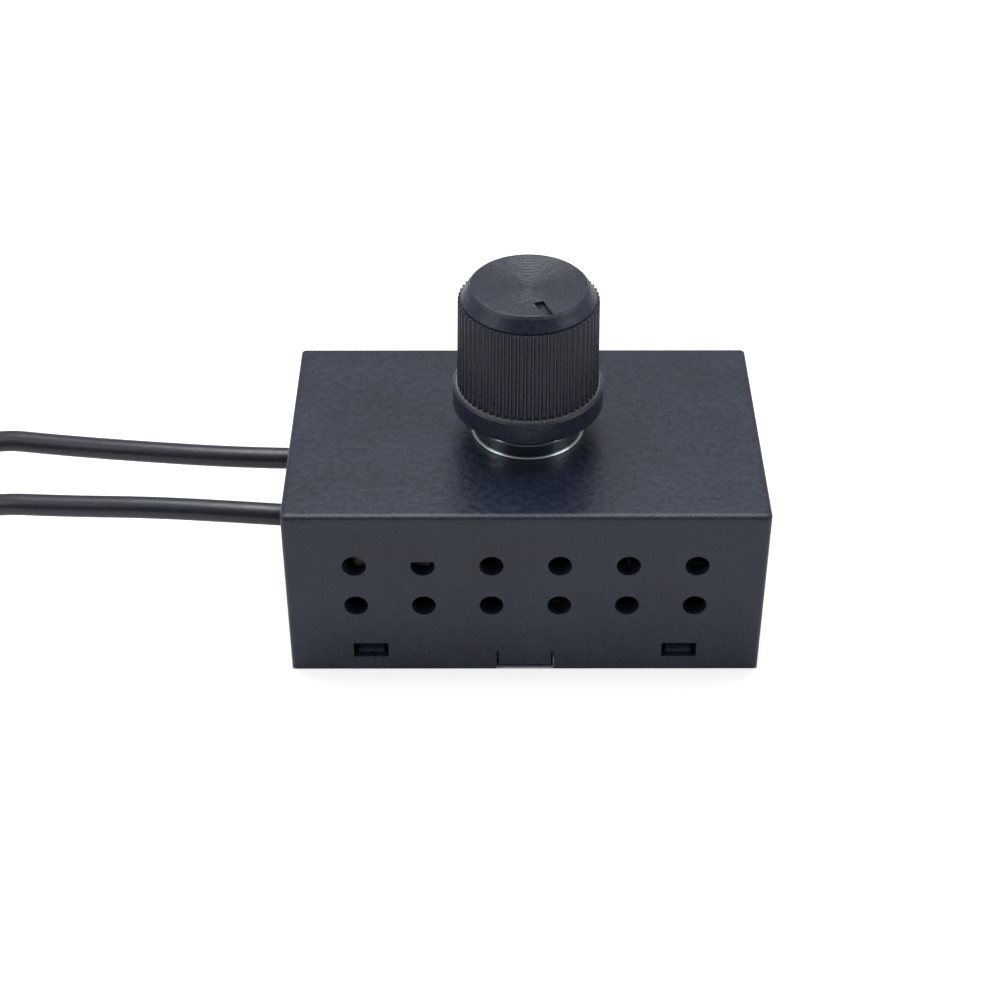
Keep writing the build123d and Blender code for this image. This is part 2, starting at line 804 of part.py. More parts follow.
with BuildPart() as switch_contact:
    with BuildSketch(dial_section.offset(-leaf_row - 2 * leaf_thickness - contact_gap)):
        with Locations((contact_spot, (leaf_foot + leaf_head) / 2)):
            Rectangle(fixed_width, leaf_head - leaf_foot)
        with Locations((contact_spot, (tail_foot + leaf_head) / 2)):
            Rectangle(switch_blade_width, leaf_head - tail_foot)
    extrude(amount=leaf_thickness)
switch_contact.part.label = "switch_contact"
export_step(switch_contact.part, "parts/switch_contact.step")


# Shaft: turned steps for the cam and the wiper, and a flat for the knob
shaft_flat_start = bushing_top + shaft_end_gap
with BuildPart() as pot_shaft:
    with BuildSketch(dial_section):
        with BuildLine():
            Polyline(
                (0, switch_bottom + switch_floor + shaft_end_gap),
                (cam_shaft_radius, switch_bottom + switch_floor + shaft_end_gap),
                (cam_shaft_radius, wiper_bottom - 2 * pin_gap),
                (shaft_seat_radius, wiper_bottom - 2 * pin_gap),
                (shaft_seat_radius, wiper_top),
                (shaft_radius, wiper_top),
                (shaft_radius, shaft_top - shaft_end_gap),
                (shaft_radius - shaft_end_gap, shaft_top),
                (0, shaft_top),
                close=True,
            )
        make_face()
    revolve(axis=dial_axis)
    with BuildSketch(level(shaft_flat_start)):
        with PolarLocations(shaft_flat + shaft_radius, 1, start_angle=pointer_angle):
            Rectangle(2 * shaft_radius, 2 * shaft_radius)
    extrude(amount=shaft_top - shaft_flat_start, mode=Mode.SUBTRACT)
pot_shaft.part.label = "pot_shaft"
export_step(pot_shaft.part, "parts/pot_shaft.step")

# Wiper: a disc on the shaft, with the nose that meets the stop and a finger that reaches for the track
nose_start = pointer_angle - nose_half_angle
nose_end = pointer_angle + nose_half_angle
with BuildPart() as pot_wiper:
    with BuildSketch(level(wiper_bottom)):
        make_face(wedge(nose_start, nose_end, nose_radius).edges())
        Circle(nose_radius, mode=Mode.INTERSECT)
        Circle(wiper_radius)
        Circle(shaft_seat_radius, mode=Mode.SUBTRACT)
    extrude(amount=wiper_thickness)
    with BuildSketch(level(track_top + track_gap)):
        with PolarLocations((track_inner_radius + wiper_radius) / 2, 2, start_angle=pointer_angle):
            Rectangle(finger_length, finger_width)
    extrude(amount=wiper_lift - track_gap)
pot_wiper.part.label = "pot_wiper"
export_step(pot_wiper.part, "parts/pot_wiper.step")

# Cam: its lobe comes up to the leaf at the off end of the travel
cam_foot = switch_bottom + switch_floor + shaft_end_gap + 2 * pin_gap
lobe_start = 90 - turn_to_off - cam_lobe_half_angle
lobe_end = 90 - turn_to_off + cam_lobe_half_angle
with BuildPart() as switch_cam:
    with BuildSketch(level(cam_foot)):
        make_face(wedge(lobe_start, lobe_end, cam_lobe_radius).edges())
        Circle(cam_lobe_radius, mode=Mode.INTERSECT)
        Circle(cam_radius)
        Circle(cam_shaft_radius, mode=Mode.SUBTRACT)
    extrude(amount=cam_height)
switch_cam.part.label = "switch_cam"
export_step(switch_cam.part, "parts/switch_cam.step")


# Washer and round nut on the bushing
with BuildPart() as mounting_washer:
    with BuildSketch(level(box_height)):
        Circle(washer_radius)
        Circle(bushing_radius + bushing_hole_gap, mode=Mode.SUBTRACT)
    extrude(amount=washer_thickness)
    chamfer(mounting_washer.faces().sort_by(Axis.Z)[-1].edges(), 0.2 * washer_thickness)
mounting_washer.part.label = "mounting_washer"
export_step(mounting_washer.part, "parts/mounting_washer.step")

with BuildPart() as mounting_nut:
    with BuildSketch(level(nut_foot)):
        Circle(nut_radius)
        Circle(bushing_radius + thread_gap, mode=Mode.SUBTRACT)
    extrude(amount=nut_height)
    upper_rim = mounting_nut.faces().sort_by(Axis.Z)[-1].edges().sort_by(SortBy.RADIUS)[-1]
    fillet(upper_rim, nut_edge)
    with BuildSketch(level(nut_top - nut_slot_depth)):
        Rectangle(3 * nut_radius, nut_slot_width)
    extrude(amount=2 * nut_slot_depth, mode=Mode.SUBTRACT)
mounting_nut.part.label = "mounting_nut"
export_step(mounting_nut.part, "parts/mounting_nut.step")


# Knob: a moulded shell with sixty flutes above a flange, and a ribbed hub that grips the shaft
knob_flute_top = knob_top - knob_bevel_height
knob_flute_foot = knob_flute_top - flute_run
knob_flange_foot = knob_foot + knob_foot_height
hub_radius = shaft_radius + hub_wall
hub_foot = bushing_top + hub_gap
flute_lean = (knob_crest_radius_foot - knob_crest_radius_top) / flute_run
flute_centre = knob_crest_radius_foot + flute_radius - flute_depth
shell_radius = knob_foot_radius - knob_lip
knob_ceiling = knob_top - knob_roof
with BuildPart() as flute_cutter:
    with BuildSketch(Plane(origin=(flute_centre, 0, knob_flute_foot), z_dir=(-flute_lean, 0, 1))):
        Circle(flute_radius)
    extrude(amount=flute_run + knob_groove_width)

with BuildPart(level(0)) as knob:
    with BuildSketch(dial_section):
        with BuildLine():
            Polyline(
                (0, knob_top - knob_dish_depth),
                (0, knob_foot),
                (knob_foot_radius, knob_foot),
                (knob_flange_radius, knob_flange_foot),
                (knob_flange_radius, knob_flute_foot - knob_flange_edge),
                (knob_flange_radius - knob_flange_edge, knob_flute_foot),
                (knob_crest_radius_foot, knob_flute_foot),
                (knob_crest_radius_top, knob_flute_top),
                (knob_bevel_foot_radius - knob_groove_depth, knob_flute_top),
                (knob_bevel_foot_radius - knob_groove_depth, knob_flute_top + knob_groove_width),
                (knob_bevel_foot_radius, knob_flute_top + knob_groove_width),
                (knob_bevel_radius, knob_top - knob_rim_width),
                (knob_bevel_radius - knob_rim_width, knob_top),
                (knob_bevel_radius - 2 * knob_rim_width, knob_top),
            )
            ThreePointArc(
                (knob_bevel_radius - 2 * knob_rim_width, knob_top),
                (knob_bevel_radius / 2, knob_top - 0.78 * knob_dish_depth),
                (0, knob_top - knob_dish_depth),
            )
        make_face()
    revolve(axis=dial_axis)
    with PolarLocations(0, flute_count):
        add(flute_cutter.part, mode=Mode.SUBTRACT)
    # The underside is open round the nut, and cored out between the shell and the hub
    with BuildSketch(level(knob_foot)):
        Circle(shell_radius)
    extrude(amount=hub_foot - knob_foot, mode=Mode.SUBTRACT)
    with BuildSketch(level(hub_foot)):
        Circle(shell_radius)
        Circle(hub_radius, mode=Mode.SUBTRACT)
        with PolarLocations(0, hub_ribs // 2):
            Rectangle(2 * shell_radius + 1, hub_rib_thickness, mode=Mode.SUBTRACT)
    extrude(amount=knob_ceiling - hub_foot, mode=Mode.SUBTRACT)
    with BuildSketch(level(hub_foot)):
        Circle(shaft_radius + knob_bore_gap)
        with PolarLocations(shaft_flat + knob_bore_gap + shaft_radius, 1, start_angle=pointer_angle):
            Rectangle(2 * shaft_radius, 3 * shaft_radius, mode=Mode.SUBTRACT)
    extrude(amount=shaft_top + shaft_end_gap - hub_foot, mode=Mode.SUBTRACT)
    with BuildSketch(level(knob_top)):
        with PolarLocations((pointer_start + pointer_end) / 2, 1, start_angle=pointer_angle):
            Rectangle(pointer_end - pointer_start, pointer_width)
    extrude(amount=-pointer_depth, mode=Mode.SUBTRACT)
knob.part.label = "knob"
export_step(knob.part, "parts/knob.step")


def bend_radii(route):
    """Each bend's radius: 0.45 of its shorter run, divided by the tangent of half its turn."""
    runs = [Vector(*end) - Vector(*start) for start, end in zip(route, route[1:])]
    return [
        0.45 * min(before.length, after.length) / tan(radians(before.get_angle(after)) / 2)
        for before, after in zip(runs, runs[1:])
    ]


# Inner ends of the leads: under the clamp rib, down beside the potentiometer and into the board
clamp_lead_height = clamp_rib_foot - lead_radius - seat_gap
for label, side in (("lead_front_inner", -1), ("lead_rear_inner", 1)):
    inner_route = [
        (exit_x, side * lead_exit_spot, lead_height),
        (exit_x + inner_bend_inset, side * lead_exit_spot, lead_height),
        (clamp_spot - inner_bend_run, side * clamp_lead_spot, clamp_lead_height),
        (lead_drop_spot, side * clamp_lead_spot, clamp_lead_height),
        (lead_drop_spot, side * clamp_lead_spot, board_top + lead_end_gap),
    ]
    with BuildPart() as inner_lead:
        with BuildLine() as inner_path:
            FilletPolyline(*inner_route, radius=bend_radii(inner_route))
        with BuildSketch(Plane.YZ.offset(exit_x)):
            with Locations((side * lead_exit_spot, lead_height)):
                Circle(lead_radius)
        sweep(path=inner_path.line)
        with BuildSketch(Plane.XY.offset(tail_foot)):
            with Locations((lead_drop_spot, side * clamp_lead_spot)):
                Circle(conductor_radius)
        extrude(amount=board_top + lead_end_gap - tail_foot)
    inner_lead.part.label = label
    export_step(inner_lead.part, f"parts/{label}.step")


# Free leads: from the left end out over the edge of the box and down to the surface it stands on
coil_x, coil_y = exit_x - coil_distance, coil_offset
coil_pitch = 2 * lead_radius + turn_gap
coil_outer_radius = coil_inner_radius + coil_pitch
coil_end_radius = coil_inner_radius - coil_pitch
rear_route = [
    (exit_x, lead_exit_spot, lead_height),
    (exit_x - 6.0, lead_exit_spot, lead_height),
    (exit_x - 18.0, 7.1, 12.5),
    (exit_x - 32.0, 10.9, 10.8),
    (exit_x - 42.0, 11.2, 5.9),
    (exit_x - 50.5, coil_y + coil_outer_radius, lead_radius),
    (exit_x - 59.0, coil_y + coil_outer_radius, lead_radius),
]
front_route = [
    (exit_x, -lead_exit_spot, lead_height),
    (exit_x - 5.0, -lead_exit_spot, lead_height),
    (exit_x - 14.5, -3.6, 12.7),
    (exit_x - 30.5, -1.2, 11.0),
    (exit_x - 39.5, 2.4, 6.0),
    (exit_x - 47.5, coil_y + coil_inner_radius, lead_radius),
    (exit_x - 56.0, coil_y + coil_inner_radius, lead_radius),
]
coiled_lengths = []
for label, route in (("lead_rear", rear_route), ("lead_front", front_route)):
    with BuildPart() as free_lead:
        with BuildLine() as free_path:
            FilletPolyline(*route, radius=bend_radii(route))
        with BuildSketch(Plane(origin=route[0], z_dir=Vector(*route[1]) - Vector(*route[0]))):
            Circle(lead_radius)
        sweep(path=free_path.line)
    free_lead.part.label = label
    export_step(free_lead.part, f"parts/{label}.step")
    run_length = free_path.wire().length
    coiled_lengths.append(lead_length - bare_length - run_length - (route[-1][0] - coil_x))
    print(label, "radii", [round(radius, 1) for radius in bend_radii(route)])
    print(label, "length", round(run_length, 1), "volume", round(free_lead.part.volume, 1))
    print(label, "section times length", round(pi * lead_radius**2 * run_length, 1))

# Coil: both leads side by side, once round. The inner one ends inside its own first turn
outer_turn = degrees(coiled_lengths[0] / coil_outer_radius)
inner_rest = coiled_lengths[1] - radians(270) * coil_inner_radius
inner_turn = 270 + degrees(inner_rest / (coil_inner_radius - coil_pitch / 2))
outer_end_angle = 90 + outer_turn
inner_end_angle = 90 + inner_turn
coil_plane = Plane(origin=(coil_x, coil_y, 0))
tie_middle = coil_x - (coil_outer_radius + coil_inner_radius) / 2
tie_opening = coil_pitch + 2 * lead_radius + 2 * tie_gap
with BuildPart() as lead_coil:
    with BuildSketch(coil_plane):
        Circle(coil_inner_radius + lead_radius)
        Circle(coil_inner_radius - lead_radius, mode=Mode.SUBTRACT)
    extrude(amount=2 * lead_radius)
    with BuildSketch(coil_plane):
        Circle(coil_outer_radius + lead_radius)
        Circle(coil_inner_radius + lead_radius, mode=Mode.SUBTRACT)
        make_face(wedge(outer_end_angle - 360, 90, coil_outer_radius).edges(), mode=Mode.SUBTRACT)
    extrude(amount=2 * lead_radius)
    with BuildSketch(coil_plane):
        make_face(wedge(inner_start_angle, inner_end_angle - 360, coil_outer_radius).edges())
        Circle(coil_inner_radius - lead_radius, mode=Mode.INTERSECT)
        Circle(coil_end_radius - lead_radius, mode=Mode.SUBTRACT)
    extrude(amount=2 * lead_radius)
    for route in (rear_route, front_route):
        with BuildSketch(Plane.YZ.offset(coil_x)):
            with Locations((route[-1][1], lead_radius)):
                Circle(lead_radius)
        extrude(amount=route[-1][0] - coil_x)
    with BuildSketch(Plane((tie_middle, coil_y, 0))):
        Rectangle(tie_opening, tie_width + 2 * tie_gap)
    extrude(amount=tie_thickness, mode=Mode.SUBTRACT)
lead_coil.part.label = "lead_coil"
export_step(lead_coil.part, "parts/lead_coil.step")

# Tie: a band round both leads at the far side of the coil
with BuildPart() as coil_tie:
    with BuildSketch(Plane.XZ.offset(-coil_y - tie_width / 2)):
        with Locations((tie_middle, lead_radius + tie_thickness / 2)):
            Rectangle(tie_opening + 2 * tie_thickness, 2 * lead_radius + tie_thickness)
        with Locations((tie_middle, lead_radius + tie_thickness / 2)):
            Rectangle(tie_opening, 2 * lead_radius - tie_thickness, mode=Mode.SUBTRACT)
    extrude(amount=tie_width)
coil_tie.part.label = "coil_tie"
export_step(coil_tie.part, "parts/coil_tie.step")

# Stripped and tinned ends, which follow the coil
for label, start_angle, end_radius in (
    ("lead_end_rear", outer_end_angle, coil_outer_radius),
    ("lead_end_front", inner_end_angle, coil_end_radius),
):
    out = Vector(cos(radians(start_angle)), sin(radians(start_angle)), 0)
    along = Vector(-sin(radians(start_angle)), cos(radians(start_angle)), 0)
    end_centre = Vector(coil_x, coil_y, lead_radius) + out * end_radius
    with BuildPart() as lead_end:
        with BuildSketch(Plane(origin=end_centre, x_dir=out, z_dir=along)):
            Circle(conductor_radius)
        revolve(axis=Axis((coil_x, coil_y, 0), (0, 0, 1)), revolution_arc=degrees(bare_length / end_radius))
    lead_end.part.label = label
    export_step(lead_end.part, f"parts/{label}.step")
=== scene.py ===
import math

import bmesh
import bpy
import numpy as np
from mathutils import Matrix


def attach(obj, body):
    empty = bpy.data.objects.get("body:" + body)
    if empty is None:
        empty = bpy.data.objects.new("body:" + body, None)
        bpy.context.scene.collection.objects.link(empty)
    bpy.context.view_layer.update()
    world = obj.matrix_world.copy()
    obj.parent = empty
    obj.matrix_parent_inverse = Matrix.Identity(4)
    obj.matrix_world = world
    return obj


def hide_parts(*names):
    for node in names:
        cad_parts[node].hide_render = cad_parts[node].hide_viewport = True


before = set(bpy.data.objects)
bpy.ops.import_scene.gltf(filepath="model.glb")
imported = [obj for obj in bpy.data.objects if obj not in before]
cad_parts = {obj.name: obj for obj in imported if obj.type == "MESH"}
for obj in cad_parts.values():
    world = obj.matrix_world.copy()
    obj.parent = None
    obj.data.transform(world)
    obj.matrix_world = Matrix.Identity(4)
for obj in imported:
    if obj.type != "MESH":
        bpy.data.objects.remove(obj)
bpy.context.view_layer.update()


# Camera: it stands before the front long side and looks down on the box, square to its length. Its place,
# angle and lens are those that put the box's corners where the photograph has them.
camera_data = bpy.data.cameras.new("camera")
camera_data.sensor_width = 36
camera_data.lens = 72.35
camera = bpy.data.objects.new("camera", camera_data)
camera.location = (-0.00283, -0.17463, 0.14734)
looks_down, turned_aside = math.radians(37.98), math.radians(-0.08)
camera.rotation_euler = (math.pi / 2 - looks_down, 0, turned_aside)
bpy.context.collection.objects.link(camera)
bpy.context.scene.camera = camera


# The two leads: stranded copper in blue-black PVC, 2.4 mm over the insulation. They run out of the left
# end, sag to the table, and what is left of them lies in one flat turn, held by a tie.
lead_radius = 0.0012
coil_centre = np.array([-0.0940, -0.0061])
rear_coil_radius = 0.0144
front_coil_radius = 0.0119
coil_end_radius = 0.0094
rear_end_angle, front_end_angle = 364.2, 425.3
rear_run = [
    (-0.0250, 0.0051, 0.0130),
    (-0.0310, 0.0051, 0.0131),
    (-0.0430, 0.0071, 0.0125),
    (-0.0525, 0.0095, 0.0116),
    (-0.0615, 0.0115, 0.0112),
    (-0.0700, 0.0113, 0.0059),
    (-0.0785, 0.0090, 0.0012),
    (-0.0870, 0.0083, 0.0012),
]
front_run = [
    (-0.0250, -0.0051, 0.0130),
    (-0.0300, -0.0051, 0.0134),
    (-0.0400, -0.0037, 0.0130),
    (-0.0500, -0.0022, 0.0120),
    (-0.0595, -0.0006, 0.0112),
    (-0.0680, 0.0019, 0.0058),
    (-0.0765, 0.0046, 0.0012),
    (-0.0850, 0.0058, 0.0012),
]


def coil_points(first_radius, last_radius, end_angle, narrowing_from):
    """Points of one turn, from where the run meets the circle at 90 degrees to the end's angle. The radius is the
    first one up to narrowing_from, then falls to the last one on a smooth step."""
    angle = np.linspace(90, end_angle, 1 + round((end_angle - 90) / 14))
    step = np.clip((angle - narrowing_from) / (end_angle - narrowing_from), 0, 1)
    radius = first_radius + (last_radius - first_radius) * step**2 * (3 - 2 * step)
    x = coil_centre[0] + radius * np.cos(np.radians(angle))
    y = coil_centre[1] + radius * np.sin(np.radians(angle))
    return list(zip(x, y, np.full(len(angle), lead_radius)))


def laid_lead(name, points):
    """A round lead whose line is the spline that has these control points."""
    curve = bpy.data.curves.new(name, "CURVE")
    curve.dimensions = "3D"
    curve.bevel_depth = 1.0
    curve.bevel_resolution = 6
    curve.use_fill_caps = True
    curve.resolution_u = 10
    spline = curve.splines.new("NURBS")
    spline.points.add(len(points) - 1)
    spline.points.foreach_set("co", np.c_[np.array(points), np.ones(len(points))].ravel())
    # The points carry the radius, not the bevel, because Blender's box round a curve grows by its points' radius
    spline.points.foreach_set("radius", np.full(len(points), lead_radius))
    spline.order_u = 3
    spline.use_endpoint_u = True
    spline.use_smooth = True
    lead = bpy.data.objects.new(name, curve)
    bpy.context.collection.objects.link(lead)
    return lead


def skin_piece(name, x, y, z, close_along=False):
    """A mesh from three equal grids of coordinates: the rows go along the piece and the columns go round it. Ends that
    are drawn together to a point are merged into one vertex, and with close_along the last row meets the first."""
    rows, columns = x.shape
    corner = np.arange(rows * columns).reshape(rows, columns)
    corner = np.c_[corner, corner[:, 0]]
    if close_along:
        corner = np.r_[corner, corner[:1]]
    faces = np.stack([corner[:-1, :-1], corner[:-1, 1:], corner[1:, 1:], corner[1:, :-1]], -1).reshape(-1, 4)
    mesh = bpy.data.meshes.new(name)
    mesh.from_pydata(np.stack([x, y, z], -1).reshape(-1, 3), [], faces.tolist())
    work = bmesh.new()
    work.from_mesh(mesh)
    bmesh.ops.remove_doubles(work, verts=work.verts, dist=1e-7)
    bmesh.ops.recalc_face_normals(work, faces=work.faces)
    work.to_mesh(mesh)
    work.free()
    mesh.shade_smooth()
    piece = bpy.data.objects.new(name, mesh)
    bpy.context.collection.objects.link(piece)
    return piece


def twisted_strands(name, arc_radius, start_angle, length):
    """Seven tinned strands twisted together, on an arc of the coil. Round the bundle the radius is its full size times
    0.84 + 0.16 |cos(3.5 (angle - twist))|, which has seven lobes. The twist grows along the arc by a turn in 14 mm,
    and both ends close over the last 0.3 mm on a quarter circle."""
    bundle_radius, cap, lay_length = 0.0006, 0.0003, 0.014
    full_circle = np.linspace(0, 2 * np.pi, 84, endpoint=False)
    along, around = np.meshgrid(np.linspace(0, length, 61), full_circle, indexing="ij")
    lobes = 0.84 + 0.16 * np.abs(np.cos(3.5 * (around - 2 * np.pi * along / lay_length)))
    to_end = np.clip(np.minimum(along, length - along) / cap, 0, 1)
    size = bundle_radius * lobes * np.sqrt(1 - (1 - to_end) ** 2)
    angle = math.radians(start_angle) + along / arc_radius
    out = arc_radius + size * np.cos(around)
    x = coil_centre[0] + out * np.cos(angle)
    y = coil_centre[1] + out * np.sin(angle)
    return skin_piece(name, x, y, lead_radius + size * np.sin(around))


def node(tree, kind, inputs=None, **settings):
    """Adds a node to a tree. An input is a plain value, or the output of another node."""
    made = tree.nodes.new(kind)
    for key, value in settings.items():
        setattr(made, key, value)
    for key, value in (inputs or {}).items():
        if isinstance(value, bpy.types.NodeSocket):
            tree.links.new(value, made.inputs[key])
        else:
            made.inputs[key].default_value = value
    return made


def maths(tree, operation, *values):
    """The result of one sum on one, two or three values."""
    return node(tree, "ShaderNodeMath", dict(enumerate(values)), operation=operation).outputs[0]


def ramp(tree, value, start, end, low, high, smooth=False):
    """The value carried from the range start to end over to the range low to high, and held past its ends."""
    made = node(tree, "ShaderNodeMapRange", {0: value, 1: start, 2: end, 3: low, 4: high})
    made.interpolation_type = "SMOOTHSTEP" if smooth else "LINEAR"
    return made.outputs[0]


def blend(tree, mask, first, second):
    """The first colour where the mask is 0 and the second where it is 1."""
    made = node(tree, "ShaderNodeMix", data_type="RGBA")
    for socket, value in ((made.inputs[0], mask), (made.inputs[6], first), (made.inputs[7], second)):
        if isinstance(value, bpy.types.NodeSocket):
            tree.links.new(value, socket)
        else:
            socket.default_value = (*value, 1)
    return made.outputs[2]


def effect_group(name, inputs, outputs):
    """An empty shader group with these named inputs, as (name, value), and outputs, as (name, kind)."""
    group = bpy.data.node_groups.new(name, "ShaderNodeTree")
    for label, value in inputs:
        kind = "NodeSocketFloat" if isinstance(value, (int, float)) else "NodeSocketColor"
        socket = group.interface.new_socket(label, in_out="INPUT", socket_type=kind)
        socket.default_value = value
    for label, kind in outputs:
        group.interface.new_socket(label, in_out="OUTPUT", socket_type="NodeSocket" + kind)
    return group, node(group, "NodeGroupInput").outputs, node(group, "NodeGroupOutput").inputs


# Moulded skin: the mottled colour, uneven gloss, fine grain and few light specks of a moulded surface. The grain
# is the given number of waves to the metre, the patches are about a millimetre wide and the clouds several.
moulded_skin, given, result = effect_group(
    "moulded_skin",
    [("Colour", (0.02, 0.022, 0.03, 1)), ("Grain", 5200.0), ("Mottle", 0.3), ("Gloss", 0.4), ("Specks", 0.0)],
    [("Colour", "Color"), ("Roughness", "Float"), ("Height", "Float")],
)
place = node(moulded_skin, "ShaderNodeTexCoord").outputs["Object"]
grain, patches, clouds = (
    node(moulded_skin, "ShaderNodeTexNoise", {"Vector": place, "Scale": scale, "Detail": detail}).outputs[0]
    for scale, detail in ((given["Grain"], 2.0), (1200.0, 3.0), (150.0, 2.0))
)
sum_of_all = maths(moulded_skin, "ADD", maths(moulded_skin, "ADD", grain, patches), clouds)
uneven = maths(moulded_skin, "MULTIPLY_ADD", maths(moulded_skin, "SUBTRACT", sum_of_all, 1.5), given["Mottle"], 1.0)
shade = node(moulded_skin, "ShaderNodeVectorMath", {0: given["Colour"], "Scale": uneven}, operation="SCALE").outputs[0]
flakes = node(moulded_skin, "ShaderNodeTexVoronoi", {"Vector": place, "Scale": 900.0}).outputs["Distance"]
fleck = maths(moulded_skin, "LESS_THAN", flakes, maths(moulded_skin, "MULTIPLY", given["Specks"], patches))
moulded_skin.links.new(blend(moulded_skin, fleck, shade, (0.20, 0.20, 0.20)), result["Colour"])
rough = maths(moulded_skin, "MULTIPLY_ADD", maths(moulded_skin, "SUBTRACT", patches, 0.5), 0.3, given["Gloss"])
moulded_skin.links.new(rough, result["Roughness"])
moulded_skin.links.new(maths(moulded_skin, "MULTIPLY_ADD", patches, 2.8, grain), result["Height"])

# Metal skin: fine scratches that run one way, in the colour and the gloss
metal_skin, given, result = effect_group(
    "metal_skin",
    [("Colour", (0.7, 0.7, 0.7, 1)), ("Gloss", 0.25), ("Along X", 1.0), ("Along Y", 1.0), ("Along Z", 1.0)],
    [("Colour", "Color"), ("Roughness", "Float"), ("Height", "Float")],
)
place = node(metal_skin, "ShaderNodeTexCoord").outputs["Object"]
stretch = node(metal_skin, "ShaderNodeCombineXYZ", {0: given["Along X"], 1: given["Along Y"], 2: given["Along Z"]})
place = node(metal_skin, "ShaderNodeVectorMath", {0: place, 1: stretch.outputs[0]}, operation="MULTIPLY").outputs[0]
lines = node(metal_skin, "ShaderNodeTexNoise", {"Vector": place, "Scale": 4200.0, "Detail": 3.0}).outputs[0]
stain = node(metal_skin, "ShaderNodeTexNoise", {"Vector": place, "Scale": 420.0, "Detail": 3.0}).outputs[0]
worn = maths(metal_skin, "MULTIPLY_ADD", maths(metal_skin, "ADD", lines, stain), 0.3, 0.7)
metal_skin.links.new(
    node(metal_skin, "ShaderNodeVectorMath", {0: given["Colour"], "Scale": worn}, operation="SCALE").outputs[0],
    result["Colour"],
)
rough = maths(metal_skin, "MULTIPLY_ADD", maths(metal_skin, "SUBTRACT", stain, 0.5), 0.35, given["Gloss"])
metal_skin.links.new(maths(metal_skin, "MULTIPLY_ADD", lines, 0.12, rough), result["Roughness"])
metal_skin.links.new(lines, result["Height"])


def new_material(name):
    """A new material, its node tree and its plain shader."""
    material = bpy.data.materials.new(name)
    material.use_nodes = True
    tree = material.node_tree
    return material, tree, tree.nodes["Principled BSDF"]


def skinned(name, group, colour, relief, metallic=0.0, specular=0.5, **values):
    """A material with one of the skins on a plain shader. The skin's own values are given by name, with an underscore
    for a space, and relief is how strongly its height shows."""
    material, tree, shader = new_material(name)
    skin = node(tree, "ShaderNodeGroup", node_tree=group)
    skin.inputs["Colour"].default_value = (*colour, 1)
    for label, value in values.items():
        skin.inputs[label.replace("_", " ")].default_value = value
    height, grain_height = skin.outputs["Height"], 0.00005
    bump = node(tree, "ShaderNodeBump", {"Strength": relief, "Distance": grain_height, "Height": height})
    shader.inputs["Metallic"].default_value = metallic
    shader.inputs["Specular IOR Level"].default_value = specular
    tree.links.new(skin.outputs["Colour"], shader.inputs["Base Color"])
    tree.links.new(skin.outputs["Roughness"], shader.inputs["Roughness"])
    tree.links.new(bump.outputs[0], shader.inputs["Normal"])
    return material


def dress(material, *parts):
    """Puts one material on these parts, given as names or as objects."""
    for part in parts:
        slots = (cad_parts[part] if isinstance(part, str) else part).data.materials
        slots.clear()
        slots.append(material)


lead_insulation = skinned(
    "lead_insulation", moulded_skin, (0.0110, 0.0148, 0.0265), 0.15, specular=0.62, Grain=3400.0, Gloss=0.35
)
tinned_metal = skinned("tinned_metal", metal_skin, (0.62, 0.62, 0.64), 0.2, metallic=1.0, Gloss=0.3)
rear_lead = laid_lead("rear_lead", rear_run + coil_points(rear_coil_radius, rear_coil_radius, rear_end_angle, 360))
front_lead = laid_lead("front_lead", front_run + coil_points(front_coil_radius, coil_end_radius, front_end_angle, 320))
rear_strands = twisted_strands("rear_strands", rear_coil_radius, rear_end_angle - 1, 0.0092)
front_strands = twisted_strands("front_strands", coil_end_radius, front_end_angle - 1, 0.0091)
for piece, slot, stands_for in (
    (rear_lead, "lead_insulation", ("lead_rear",)),
    (front_lead, "lead_insulation", ("lead_front", "lead_coil")),
    (rear_strands, "tinned_metal", ("lead_end_rear",)),
    (front_strands, "tinned_metal", ("lead_end_front",)),
):
    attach(piece, "box")
    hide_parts(*stands_for)
dress(lead_insulation, rear_lead, front_lead, "lead_front_inner", "lead_rear_inner")
dress(tinned_metal, rear_strands, front_strands)
dress(skinned("tie_plastic", moulded_skin, (0.012, 0.012, 0.013), 0.2, Grain=2600.0, Gloss=0.5), "coil_tie")


# Table and light: a white paper sweep that shows as plain white, with its shadows kept. One soft box hangs
# above and behind the box, and a weaker one stands at each side.
table_half, table_gap = 3, 0.00002
table_mesh = bpy.data.meshes.new("table_top")
corners = [(x * table_half, y * table_half, 0) for x, y in ((-1, -1), (1, -1), (1, 1), (-1, 1))]
table_mesh.from_pydata(corners, [], [(0, 1, 2, 3)])
table_top = bpy.data.objects.new("table_top", table_mesh)
table_top.location.z = -table_gap
bpy.context.collection.objects.link(table_top)
table_paper, tree, _ = new_material("table_paper")
tree.nodes.clear()
place = node(tree, "ShaderNodeTexCoord").outputs["Object"]
x, y = node(tree, "ShaderNodeSeparateXYZ", {0: place}).outputs[:2]
ray = node(tree, "ShaderNodeLightPath").outputs
box_half_length, box_half_depth = 0.025, 0.01525
past_end = maths(tree, "GREATER_THAN", maths(tree, "ABSOLUTE", x), box_half_length)
past_side = maths(tree, "GREATER_THAN", maths(tree, "ABSOLUTE", y), box_half_depth)
open_paper = maths(tree, "MAXIMUM", past_end, past_side)
# What the paper's near end shows in a mirror is dim, because it ends before the camera
dim_from, dim_to, dimmest = -0.055, -0.12, 0.9
near_end = ramp(tree, y, dim_from, dim_to, 0.0, dimmest, smooth=True)
dim = maths(tree, "MULTIPLY", near_end, ray["Is Glossy Ray"])
paper = node(tree, "ShaderNodeBsdfDiffuse", {"Color": blend(tree, dim, (0.82, 0.82, 0.82), (0.02, 0.02, 0.02))})
